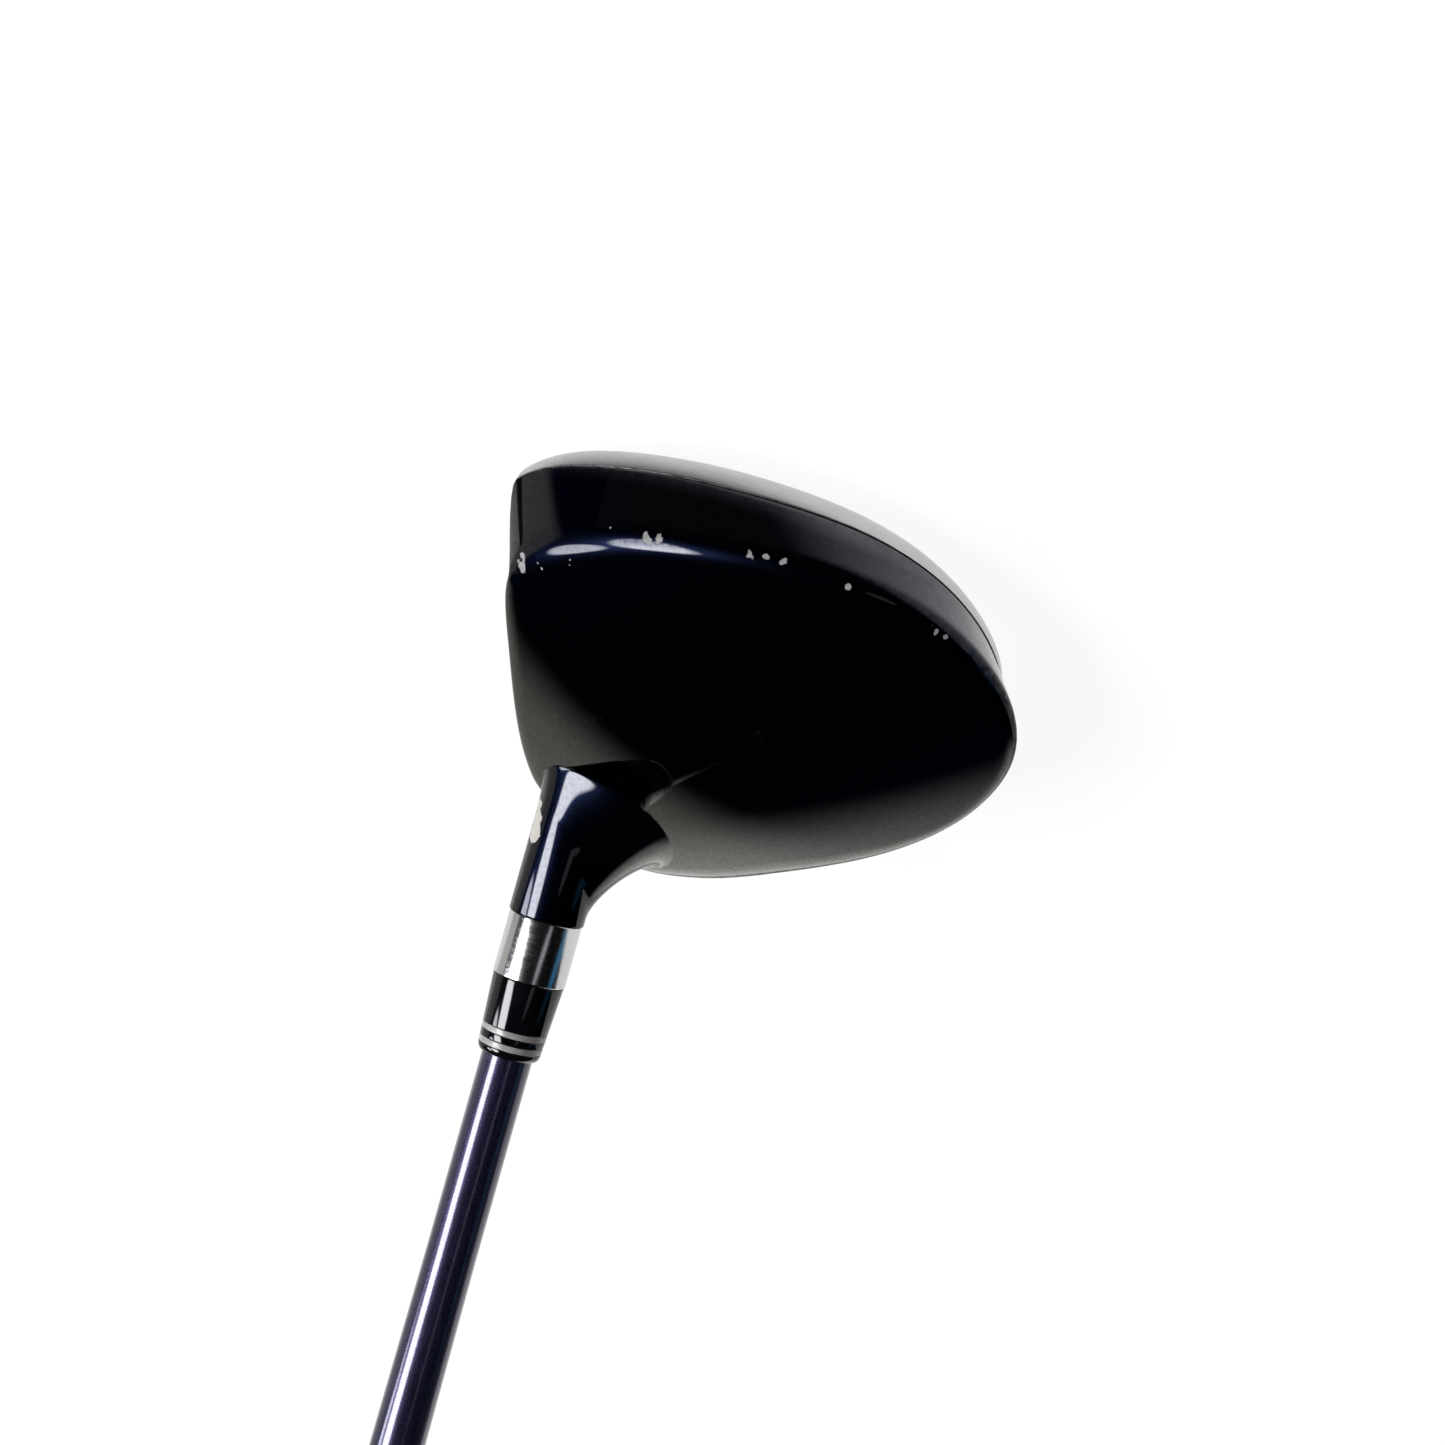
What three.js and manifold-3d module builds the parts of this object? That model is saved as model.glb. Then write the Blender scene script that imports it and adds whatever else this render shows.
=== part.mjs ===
// A golf driver in its address pose: sole on z = 0, face towards -Y, toe towards -X,
// shaft leaning towards +X. Millimetres, +Z up, origin at the centre of the sole's flat patch.
import * as THREE from 'three';
import { mergeVertices } from 'three/addons/utils/BufferGeometryUtils.js';
import Module from 'manifold-3d';

const wasm = await Module();
wasm.setup();
const { Manifold, Mesh: SolidMesh } = wasm;

// ---- driving dimensions: head -------------------------------------------------------------
// Poles of the closed cubic spline that is the crown's edge seen from above.
const EDGE_POLES = [
  [-7.5, -38], [24, -38], [40.5, -31.5], [48.5, -11.5], [31.5, 11.5], [21, 33],
  [-1, 51.5], [-28, 39.5], [-42, 18], [-40.5, -10], [-35, -24], [-23.5, -40.5],
];
const STATIONS = 60;            // steps round the head
const CROWN_TOP = 37;           // height of the dome's highest point
const DOME_AT = [31, -7];       // where that point is
const DOME_R = [180, 110];      // dome radius along X and along Y
const SKIRT_DROP = 11.2;        // crown edge down to the seam
const SKIRT_DROP_SLOPE = 0.04;  // the skirt gets shallower towards the back
const SKIRT_FLARE = 0.5;        // seam outside the crown edge
const SKIRT_FLARE_SLOPE = 0.144; // the skirt tucks under towards the back
const TUCK_X = [30, 0];         // where the tuck sets in, heel to toe
const SHOULDER = 2.6;           // size of the rounded crown edge
const SHOULDER_SHARE = 0.7;     // at most this share of the skirt is shoulder
const HEEL_ROLL = 2.4;          // extra flare on the heel side
const HEEL_ROLL_X = [10, 35];   // where it sets in
const HEEL_ROLL_Y = [-24, -4];
const ROLL_INSET = 1.5;         // extra rounding for each mm of that flare
const TOE_FLARE = 1.3;          // extra flare at the front toe corner
const TOE_FLARE_X = [-8, -26];
const TOE_FLARE_Y = [-14, -32];
const TURN_IN = 16.3;           // how far the lower body turns under
const SOLE_EDGE_Z = 1.6;        // height where the turn meets the sole
const LOFT = THREE.MathUtils.degToRad(12);
const FACE_TURN = [0.8, 0.97];  // share of the edge's normal that points forward, from side to face
const FACE_FLARE = 0.3;
const FOOT_TURN = [0.25, 0.97]; // the same at the sole on the heel side, where the turn is wider
const FOOT_TURN_X = [-12, 8];
const FACE_DROP = 1.1;          // topline rounding on the face side
const FACE_FOOT_Z = 4;          // height where the face meets the leading-edge radius
const FACE_FOOT_AT = 0.8;       // share of the lower profile that is face
const LEAD_TUCK = 5;            // leading-edge radius turned in
const CROWN_WALL = 0.9;
const BODY_WALL = 1.5;
const SEAM_GAP = 0.12;          // half of the groove between crown and body
const SOLE_OPENING = 0.78;      // sole opening as a fraction of the sole's edge
const SOLE_GAP = 0.012;
const FLAT_PATCH = 0.5;         // flat part of the sole, the same way
const SOLE_PLATE_T = 2.4;
const FACE_T = 2.6;
const FACE_GAP = 0.02;
const FACE_SQUARENESS = 0.6;    // 1 would make the face plate oval
const FACE_CUT = [4, 9];        // how far its opening is cut, outwards and inwards
const FACE_MIDDLE_U = 0.15;     // middle of the face plate in spline steps
const FACE_U = 1.02;            // its half width
const FACE_V = [0.1, 0.74];     // face plate from top to bottom of the face
const GROOVE_ROWS = 6;
const GROOVE_STEP = 2.6;
const GROOVE_MIDDLE_Z = 17;
const GROOVE_U = 0.78;
const GROOVE_DEPTH = 0.4;
const GROOVE_W = 0.7;
const REAR_U = [5.2, 6.5];      // span of the rear weight in spline steps
const REAR_CORNERS = [[-10.5, 4.6], [-7.0, 6.6], [-5.6, 9], [-10.5, 9]]; // outside the seam, height
const FOAM_AT = [-4, 9];
const FOAM_HALF = [25, 18.5];
const FOAM_Z = [3.6, 19];
const FOAM_SIZES = [0, 0.8, 0.97, 1, 0.94, 0.8, 0]; // profile as fractions of the half size
const FOAM_RISES = [0, 0, 0.2, 0.45, 0.87, 1, 1];   // and of the height

// ---- driving dimensions: hosel, ferrule, shaft and grip -----------------------------------
const LIE = THREE.MathUtils.degToRad(57);
const AXIS_AT = new THREE.Vector3(25.5, -26, 34); // station 0 on the shaft axis
const AXIS_FACETS = 32;
const NECK_R = 6.7;
// The neck's foot flares out on to the crown. Turns go round the axis from the front, by the heel.
const FLARE_TURN = THREE.MathUtils.degToRad(165);
const FLARE_REACH = [0.6, 12];  // least and most, at the front and at that turn
const FLARE_FOCUS = 3.5;
const CLIMB_TURN = THREE.MathUtils.degToRad(160);
const CLIMB = [5.5, 17];        // how far up the neck the flare starts
const FLARE_EASE = [0.3, 0.7];  // how long it follows the crown, and then the neck
const COLLAR_R = 6.45;
const COLLAR_S = [22.4, 33.5];  // stations along the axis
const BORE_R = 5.6;             // collar, neck and crown bore
const DRILL_S = [-15, 25];      // the drill that opens the crown
const TUBE_R = [4.72, 5.52];    // hosel tube bore and outside
const TUBE_S = [-32, 33.4];
const SHAFT_TIP_S = -6;
const SHAFT_TIP_R = 4.5;
const SHAFT_BORE_R = 3.1;
const BUTT_R = 7.6;
const BUTT_BORE_R = 6.7;
const TAPER_S = [83, 118, 1086]; // stations where the taper starts, eases and ends
const TAPER_MID_R = 4.78;
const GLUE_R = [4.54, 4.68];
const GLUE_S = [-5.9, 33.2];
const FERRULE_S = [33.6, 42.3]; // ferrule body
const FERRULE_FOOT_R = 6.33;
const FERRULE_TAPER = 0.059;    // radius lost per mm
const RING_T = 1.1;             // each silver trim ring
const SPACER_T = 1.2;
const LIP_T = 1.4;
const TRIM_GAP = 0.05;
const TRIM_BORE_R = SHAFT_TIP_R + TRIM_GAP;
const GRIP_S = [822, 1087];
const GRIP_MOUTH_R = 8.4;
const GRIP_BUTT_R = 13.2;
const GRIP_SWELL = 0.8;         // below 1 the grip thickens sooner
const TAPE_T = 0.3;
const TAPE_INSET = 2;           // tape short of each end of the grip
const GRIP_BEAD = 0.5;          // thicker rim at the mouth
const GRIP_BEAD_LENGTH = 4;
const RING_DEPTH = 0.6;         // ring grooves in the rubber
const RING_FROM_MOUTH = 30;
const RINGS_FROM_BUTT = [30, 22, 14];
const CAP_R = 14.4;
const CAP_T = 6;
const CAP_BEVEL = 1;
const CAP_ROUND = 2.5;
const VENT_R = 1.6;
const PLUG_S = [-13, -6.4];     // stop plug under the shaft tip
const TIP_WEIGHT_S = [-5, 24];

// ---- materials ----------------------------------------------------------------------------
const MATERIALS = {
  crown_paint: { color: 0x0b0d14, roughness: 0.12, metalness: 0 },
  satin_steel: { color: 0xb9b9b8, roughness: 0.38, metalness: 1 },
  face_steel: { color: 0xa2a3a5, roughness: 0.45, metalness: 1 },
  polished_steel: { color: 0xdedfe2, roughness: 0.08, metalness: 1 },
  ferrule_black: { color: 0x0c0c0f, roughness: 0.15, metalness: 0 },
  ferrule_silver: { color: 0xcfcdd2, roughness: 0.25, metalness: 0 },
  shaft_graphite: { color: 0x15142a, roughness: 0.15, metalness: 0 },
  grip_rubber: { color: 0x1a1a1b, roughness: 0.85, metalness: 0 },
  cloth_tape: { color: 0xcfc7b4, roughness: 0.9, metalness: 0 },
  epoxy: { color: 0xc9b98a, roughness: 0.4, metalness: 0 },
  foam: { color: 0xd9c98c, roughness: 0.95, metalness: 0 },
  weight_metal: { color: 0x8d7a4a, roughness: 0.45, metalness: 1 },
};
const shades = {};
for (const [slot, look] of Object.entries(MATERIALS)) {
  shades[slot] = new THREE.MeshStandardMaterial(look);
  shades[slot].name = slot;
}

// The shaft axis as a frame: local x towards the heel, y up the shaft, z towards the face.
const ALONG = new THREE.Vector3(Math.cos(LIE), 0, Math.sin(LIE));
const HEELWARD = new THREE.Vector3(Math.sin(LIE), 0, -Math.cos(LIE));
const ON_AXIS = new THREE.Matrix4()
  .makeBasis(HEELWARD, ALONG, new THREE.Vector3(0, -1, 0))
  .setPosition(AXIS_AT);

const driver = new THREE.Group();
const head = new THREE.Group();
const shaftLine = new THREE.Group();
shaftLine.applyMatrix4(ON_AXIS);
driver.add(head, shaftLine);

function add(group, name, slot, geometry) {
  const mesh = new THREE.Mesh(geometry, shades[slot]);
  mesh.name = name;
  group.add(mesh);
}

// ---- small maths --------------------------------------------------------------------------
function smooth(from, to, x) {
  const t = THREE.MathUtils.clamp((x - from) / (to - from), 0, 1);
  return t * t * (3 - 2 * t);
}

function mix(a, b, t) {
  return a + (b - a) * t;
}

function steps(count) {
  return Array.from({ length: count + 1 }, (_, i) => i / count);
}

// ---- closed bodies from rings of points ---------------------------------------------------
// Rings all have the same number of points. 'loop' joins the last ring to the first,
// 'caps' closes both end rings with a centre point.
function loft(rings, closing) {
  const n = rings[0].length;
  const positions = rings.flat().flatMap((p) => [p.x, p.y, p.z]);
  const faces = [];
  const bands = closing === 'loop' ? rings.length : rings.length - 1;
  for (let r = 0; r < bands; r += 1) {
    const a = r * n;
    const b = ((r + 1) % rings.length) * n;
    for (let i = 0; i < n; i += 1) {
      const j = (i + 1) % n;
      faces.push(a + i, a + j, b + j, a + i, b + j, b + i);
    }
  }
  if (closing === 'caps') {
    for (const [ring, flip] of [[0, true], [rings.length - 1, false]]) {
      const middle = centre(rings[ring]);
      const hub = positions.length / 3;
      positions.push(middle.x, middle.y, middle.z);
      for (let i = 0; i < n; i += 1) {
        const a = ring * n + i;
        const b = ring * n + ((i + 1) % n);
        faces.push(...(flip ? [b, a, hub] : [a, b, hub]));
      }
    }
  }
  return outward(positions, faces);
}

function centre(points) {
  const sum = points.reduce((total, p) => total.add(p), new THREE.Vector3());
  return sum.divideScalar(points.length);
}

// Turns the faces over when the enclosed volume comes out negative.
function outward(positions, faces) {
  const corner = (k) => new THREE.Vector3().fromArray(positions, 3 * faces[k]);
  let volume = 0;
  for (let f = 0; f < faces.length; f += 3) {
    volume += corner(f).dot(corner(f + 1).cross(corner(f + 2)));
  }
  if (volume < 0) faces.reverse();
  return surface(positions, faces);
}

function surface(positions, faces) {
  const geometry = new THREE.BufferGeometry();
  geometry.setAttribute('position', new THREE.Float32BufferAttribute(positions, 3));
  geometry.setIndex(faces);
  geometry.computeVertexNormals();
  return geometry;
}

function toSolid(geometry) {
  const bare = geometry.clone();
  bare.deleteAttribute('normal');
  bare.deleteAttribute('uv');
  const merged = mergeVertices(bare);
  return new Manifold(new SolidMesh({
    numProp: 3,
    vertProperties: merged.attributes.position.array,
    triVerts: new Uint32Array(merged.index.array),
  }));
}

function fromSolid(solid) {
  const mesh = solid.getMesh();
  const positions = [];
  for (let v = 0; v < mesh.vertProperties.length; v += mesh.numProp) {
    positions.push(...mesh.vertProperties.slice(v, v + 3));
  }
  return surface(positions, [...mesh.triVerts]);
}

function cut(geometry, cutters) {
  const tools = cutters.map(toSolid);
  return fromSolid(toSolid(geometry).subtract(Manifold.union(tools)));
}

// ---- the head's outer surface -------------------------------------------------------------
// Point and outward normal of the crown's edge at spline parameter u, seen from above.
function edge(u) {
  const count = EDGE_POLES.length;
  const i = Math.floor(u);
  const t = u - i;
  const pole = (k) => EDGE_POLES[(((i + k) % count) + count) % count];
  const place = [(1 - t) ** 3, 3 * t ** 3 - 6 * t ** 2 + 4, 1 + 3 * t + 3 * t ** 2 - 3 * t ** 3, t ** 3];
  const slope = [-((1 - t) ** 2), 3 * t ** 2 - 4 * t, 1 + 2 * t - 3 * t ** 2, t ** 2];
  const blend = (w, axis) => w.reduce((sum, k, n) => sum + k * pole(n - 1)[axis], 0);
  const dx = blend(slope, 0);
  const dy = blend(slope, 1);
  const size = Math.hypot(dx, dy);
  return { x: blend(place, 0) / 6, y: blend(place, 1) / 6, nx: dy / size, ny: -dx / size };
}

function dome(x, y) {
  const dx = x - DOME_AT[0];
  const dy = y - DOME_AT[1];
  return CROWN_TOP - dx ** 2 / (2 * DOME_R[0]) - dy ** 2 / (2 * DOME_R[1]);
}

// Everything that varies round the head, at spline parameter u.
function section(u) {
  const at = edge(u);
  const face = smooth(...FACE_TURN, -at.ny);
  const foot = mix(face, smooth(...FOOT_TURN, -at.ny), smooth(...FOOT_TURN_X, at.x));
  const roll = HEEL_ROLL * smooth(...HEEL_ROLL_X, at.x) * smooth(...HEEL_ROLL_Y, at.y);
  const tuck = SKIRT_FLARE_SLOPE * smooth(...TUCK_X, at.x);
  const corner = TOE_FLARE * smooth(...TOE_FLARE_X, at.x) * smooth(...TOE_FLARE_Y, at.y);
  return {
    ...at,
    face,
    foot,
    top: dome(at.x, at.y),
    inset: SHOULDER + ROLL_INSET * roll,
    drop: mix(SKIRT_DROP - SKIRT_DROP_SLOPE * at.y, FACE_DROP, face),
    flare: mix(SKIRT_FLARE - tuck * at.y + roll + corner, FACE_FLARE, face),
  };
}

// Point at offset o outside the crown's edge and height z.
function offset(s, o, z) {
  return new THREE.Vector3(s.x + s.nx * o, s.y + s.ny * o, z);
}

function domeRing(s, fraction) {
  const x = (s.x - s.nx * s.inset) * fraction;
  const y = (s.y - s.ny * s.inset) * fraction;
  return new THREE.Vector3(x, y, dome(x, y));
}

// Rounded shoulder: a quadratic curve from the dome, past the edge, on to the skirt.
function shoulder(s, t) {
  const fall = Math.min(s.inset, SHOULDER_SHARE * s.drop);
  const start = domeRing(s, 1);
  const end = offset(s, (s.flare * fall) / s.drop, s.top - fall);
  const corner = offset(s, 0, s.top);
  return new THREE.QuadraticBezierCurve3(start, corner, end).getPoint(t);
}

function skirt(s, t) {
  const fall = mix(Math.min(s.inset, SHOULDER_SHARE * s.drop), s.drop - SEAM_GAP, t);
  return offset(s, (s.flare * fall) / s.drop, s.top - fall);
}

// Lower body from the seam (a = 0) to the sole's edge (a = 1).
function lower(s, a) {
  const seamZ = s.top - s.drop - SEAM_GAP;
  const turn = (a * Math.PI) / 2;
  const sideOut = s.flare - TURN_IN * (1 - Math.cos(turn));
  const sideZ = mix(seamZ, SOLE_EDGE_Z, Math.sin(turn));
  const down = Math.min(a / FACE_FOOT_AT, 1);
  const under = Math.max((a - FACE_FOOT_AT) / (1 - FACE_FOOT_AT), 0);
  const faceZ = mix(mix(seamZ, FACE_FOOT_Z, down), SOLE_EDGE_Z, Math.sin((under * Math.PI) / 2));
  const faceOut = s.flare + (seamZ - mix(seamZ, FACE_FOOT_Z, down)) * Math.tan(LOFT)
    - LEAD_TUCK * (1 - Math.cos((under * Math.PI) / 2));
  const share = mix(s.face, s.foot, a);
  return offset(s, mix(sideOut, faceOut, share), mix(sideZ, faceZ, share));
}

// The sole, from its edge (f = 1) to the flat patch in the middle.
function sole(s, f) {
  const rim = lower(s, 1);
  const rise = Math.max((f - FLAT_PATCH) / (1 - FLAT_PATCH), 0);
  return new THREE.Vector3(rim.x * f, rim.y * f, SOLE_EDGE_Z * rise ** 2);
}

function ringOf(curve, value) {
  const turns = steps(STATIONS).slice(0, -1);
  return turns.map((turn) => curve(section(turn * EDGE_POLES.length), value));
}

// Moves a grid of rings inwards by the wall thickness, along the grid's own normals.
function inner(rings, wall) {
  const n = rings[0].length;
  return rings.map((ring, r) => ring.map((p, i) => {
    const along = ring[(i + 1) % n].clone().sub(ring[(i + n - 1) % n]);
    const above = rings[Math.max(r - 1, 0)][i];
    const below = rings[Math.min(r + 1, rings.length - 1)][i];
    const normal = below.clone().sub(above).cross(along).normalize();
    return p.clone().addScaledVector(normal, -wall);
  }));
}

// The inside of a seam rim: straight inwards, so that the two shells meet on level rims.
function seamInside(curve, value, wall) {
  return ringOf((s) => {
    const p = curve(s, value);
    return new THREE.Vector3(p.x - s.nx * wall, p.y - s.ny * wall, p.z);
  });
}

// ---- turned shapes on the shaft axis ------------------------------------------------------
// Both take [radius, station] corners. A tube's profile closes on itself, a plug's ends on the axis.
function turnedTube(corners) {
  const profile = [...corners, corners[0]].map(([r, s]) => new THREE.Vector2(r, s));
  return new THREE.LatheGeometry(profile, AXIS_FACETS);
}

function turnedPlug(corners) {
  const [first, last] = [corners[0], corners[corners.length - 1]];
  return new THREE.LatheGeometry(
    [[0, first[1]], ...corners, [0, last[1]]].map(([r, s]) => new THREE.Vector2(r, s)),
    AXIS_FACETS,
  );
}

// A tube between two stations with straight walls.
function sleeve(bore, radius, [from, to]) {
  return turnedTube([[radius, from], [radius, to], [bore, to], [bore, from]]);
}

const AXIS_TURNS = steps(AXIS_FACETS).slice(0, -1).map((t) => t * 2 * Math.PI);

function axisPoint(radius, s, turn) {
  return new THREE.Vector3(radius * Math.sin(turn), s, radius * Math.cos(turn)).applyMatrix4(ON_AXIS);
}

function axisRing([radius, s]) {
  return AXIS_TURNS.map((turn) => axisPoint(radius, s, turn));
}

function shaftRadius(s) {
  if (s <= TAPER_S[0]) return SHAFT_TIP_R;
  if (s <= TAPER_S[1]) return mix(SHAFT_TIP_R, TAPER_MID_R, (s - TAPER_S[0]) / (TAPER_S[1] - TAPER_S[0]));
  return mix(TAPER_MID_R, BUTT_R, (s - TAPER_S[1]) / (TAPER_S[2] - TAPER_S[1]));
}

// ---- head parts ---------------------------------------------------------------------------
function crownShell() {
  const rings = [
    ...[0.03, 0.25, 0.5, 0.75].map((f) => ringOf(domeRing, f)),
    ...steps(4).map((t) => ringOf(shoulder, t)),
    ...[0.5, 1].map((t) => ringOf(skirt, t)),
  ];
  const inside = [...inner(rings, CROWN_WALL).slice(0, -1), seamInside(skirt, 1, CROWN_WALL)];
  const shell = loft([...inside, ...rings.reverse()], 'caps');
  const drill = turnedPlug(DRILL_S.map((s) => [BORE_R, s])).applyMatrix4(ON_AXIS);
  return cut(shell, [drill]);
}

function bodyShell() {
  const rings = [0, 0.2, 0.4, 0.6, 0.8, 0.9, 1].map((a) => ringOf(lower, a));
  rings.push(ringOf(sole, SOLE_OPENING));
  const opening = ringOf(sole, SOLE_OPENING).map((p) => p.setZ(p.z + BODY_WALL));
  const inside = [seamInside(lower, 0, BODY_WALL), ...inner(rings, BODY_WALL).slice(1, -1), opening];
  const shell = loft([...rings, ...inside.reverse()], 'loop');
  return cut(shell, [facePatch(1 + FACE_GAP, ...FACE_CUT)]);
}

function solePlate() {
  const reach = SOLE_OPENING - SOLE_GAP;
  const under = [FLAT_PATCH, mix(FLAT_PATCH, reach, 0.5), reach].map((f) => ringOf(sole, f));
  const lift = new THREE.Vector3(0, 0, SOLE_PLATE_T);
  const over = [reach, FLAT_PATCH].map((f) => ringOf(sole, f).map((p) => p.add(lift)));
  return loft([...under, ...over], 'caps');
}

const FACE_NORMAL = new THREE.Vector3(0, -Math.cos(LOFT), Math.sin(LOFT));

// A slab that follows the face. Grow widens it, front and back are its two depths.
function facePatch(grow, front, back) {
  const middle = (FACE_V[0] + FACE_V[1]) / 2;
  const half = (FACE_V[1] - FACE_V[0]) / 2;
  const squarish = (x) => Math.sign(x) * Math.abs(x) ** FACE_SQUARENESS;
  const point = (fraction, turn, depth) => {
    const u = FACE_MIDDLE_U + FACE_U * fraction * squarish(Math.cos(turn));
    const a = middle + half * fraction * squarish(Math.sin(turn));
    return lower(section(u), a).addScaledVector(FACE_NORMAL, depth);
  };
  const ring = (fraction, depth) => AXIS_TURNS.map((turn) => point(fraction, turn, depth));
  const sizes = [0.5, 1].map((f) => f * grow);
  const outside = sizes.map((f) => ring(f, front));
  const inside = sizes.reverse().map((f) => ring(f, -back));
  return loft([...outside, ...inside], 'caps');
}

// A strip across the face at height z, used to cut one score line.
function grooveCutter(z) {
  const facePoint = (s, height) => {
    const seamZ = s.top - s.drop - SEAM_GAP;
    return lower(s, (FACE_FOOT_AT * (seamZ - height)) / (seamZ - FACE_FOOT_Z));
  };
  const rings = steps(6).map((t) => {
    const s = section(FACE_MIDDLE_U + mix(-GROOVE_U, GROOVE_U, t));
    const high = facePoint(s, z + GROOVE_W / 2);
    const low = facePoint(s, z - GROOVE_W / 2);
    return [[high, 1], [low, 1], [low, -GROOVE_DEPTH], [high, -GROOVE_DEPTH]]
      .map(([p, depth]) => p.clone().addScaledVector(FACE_NORMAL, depth));
  });
  return loft(rings, 'caps');
}

function facePlate() {
  const span = (GROOVE_ROWS - 1) * GROOVE_STEP;
  const rows = steps(GROOVE_ROWS - 1).map((t) => GROOVE_MIDDLE_Z + (t - 0.5) * span);
  return cut(facePatch(1, 0, FACE_T), rows.map(grooveCutter));
}

// Bar inside the back of the body, following its wall.
function rearWeight() {
  const rings = steps(10).map((t) => {
    const s = section(mix(REAR_U[0], REAR_U[1], t));
    return REAR_CORNERS.map(([o, z]) => offset(s, s.flare + o, z));
  });
  return loft(rings, 'caps');
}

// An upright turned block, squeezed to an oval plan.
function foamCore() {
  const profile = FOAM_SIZES.map((size, i) => new THREE.Vector2(size, mix(...FOAM_Z, FOAM_RISES[i])));
  const block = new THREE.LatheGeometry(profile, AXIS_FACETS);
  block.rotateX(Math.PI / 2);
  block.scale(FOAM_HALF[0], FOAM_HALF[1], 1);
  return block.translate(FOAM_AT[0], FOAM_AT[1], 0);
}

// Station along the axis where a line at this radius and turn meets the crown.
function meetCrown(radius, turn) {
  let low = -25;
  let high = 30;
  for (let i = 0; i < 40; i += 1) {
    const middle = (low + high) / 2;
    const p = axisPoint(radius, middle, turn);
    if (p.z > dome(p.x, p.y) + SEAM_GAP) high = middle;
    else low = middle;
  }
  return axisPoint(radius, high, turn);
}

// From 0 to 1 as the turn comes round to the one named.
function towards(turn, there) {
  return (1 + Math.cos(turn - there)) / 2;
}

function flareReach(turn) {
  return mix(...FLARE_REACH, towards(turn, FLARE_TURN) ** FLARE_FOCUS);
}

// The flare's curve: off the crown at t = 0, into the neck at t = 1.
function flarePoint(turn, t) {
  const corner = meetCrown(NECK_R, turn);
  const landing = meetCrown(NECK_R + flareReach(turn), turn);
  const climb = mix(...CLIMB, towards(turn, CLIMB_TURN));
  const [follow, rise] = FLARE_EASE;
  const curve = new THREE.CubicBezierCurve3(
    landing,
    landing.clone().lerp(corner, follow),
    corner.clone().addScaledVector(ALONG, climb * rise),
    corner.clone().addScaledVector(ALONG, climb),
  );
  return curve.getPoint(t);
}

// Painted neck: a tube whose foot flares out on to the crown, most of all at the back.
function hoselNeck() {
  const top = COLLAR_S[0] - TRIM_GAP;
  const underside = (turn) => (BORE_R + NECK_R + flareReach(turn)) / 2;
  return loft([
    ...steps(7).map((t) => AXIS_TURNS.map((turn) => flarePoint(turn, t))),
    axisRing([NECK_R, top]),
    axisRing([BORE_R, top]),
    AXIS_TURNS.map((turn) => meetCrown(BORE_R, turn)),
    AXIS_TURNS.map((turn) => meetCrown(underside(turn), turn)),
  ], 'loop');
}

// ---- parts on the shaft axis --------------------------------------------------------------
function ferruleRadius(s) {
  return FERRULE_FOOT_R - FERRULE_TAPER * (s - FERRULE_S[0]);
}

function ferruleStage(from, to) {
  return turnedTube([
    [ferruleRadius(from), from], [ferruleRadius(to), to], [TRIM_BORE_R, to], [TRIM_BORE_R, from],
  ]);
}

function addFerrule() {
  add(shaftLine, 'ferrule_body', 'ferrule_black', ferruleStage(...FERRULE_S));
  let s = FERRULE_S[1];
  const stages = [
    ['ferrule_ring_lower', 'ferrule_silver', RING_T],
    ['ferrule_spacer', 'ferrule_black', SPACER_T],
    ['ferrule_ring_upper', 'ferrule_silver', RING_T],
  ];
  for (const [name, slot, thickness] of stages) {
    add(shaftLine, name, slot, ferruleStage(s + TRIM_GAP, s + TRIM_GAP + thickness));
    s += TRIM_GAP + thickness;
  }
  const foot = s + TRIM_GAP;
  const lip = steps(3).map((t) => {
    const turn = (t * Math.PI) / 2;
    return [mix(TRIM_BORE_R + 0.2, ferruleRadius(foot), Math.cos(turn)), foot + LIP_T * Math.sin(turn)];
  });
  const bore = [[TRIM_BORE_R, foot + LIP_T], [TRIM_BORE_R, foot]];
  add(shaftLine, 'ferrule_lip', 'ferrule_black', turnedTube([...lip, ...bore]));
}

function shaftTube() {
  const corners = [SHAFT_TIP_S, ...TAPER_S].map((s) => [shaftRadius(s), s]);
  const bore = [[BUTT_BORE_R, TAPER_S[2]], [SHAFT_BORE_R, TAPER_S[0]], [SHAFT_BORE_R, SHAFT_TIP_S]];
  return turnedTube([...corners, ...bore]);
}

function gripTape() {
  const stations = [GRIP_S[0] + TAPE_INSET, GRIP_S[1] - TAPE_INSET];
  const under = stations.map((s) => [shaftRadius(s) + TRIM_GAP, s]);
  const over = stations.map((s) => [shaftRadius(s) + TRIM_GAP + TAPE_T, s]);
  return turnedTube([...over, ...under.reverse()]);
}

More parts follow.
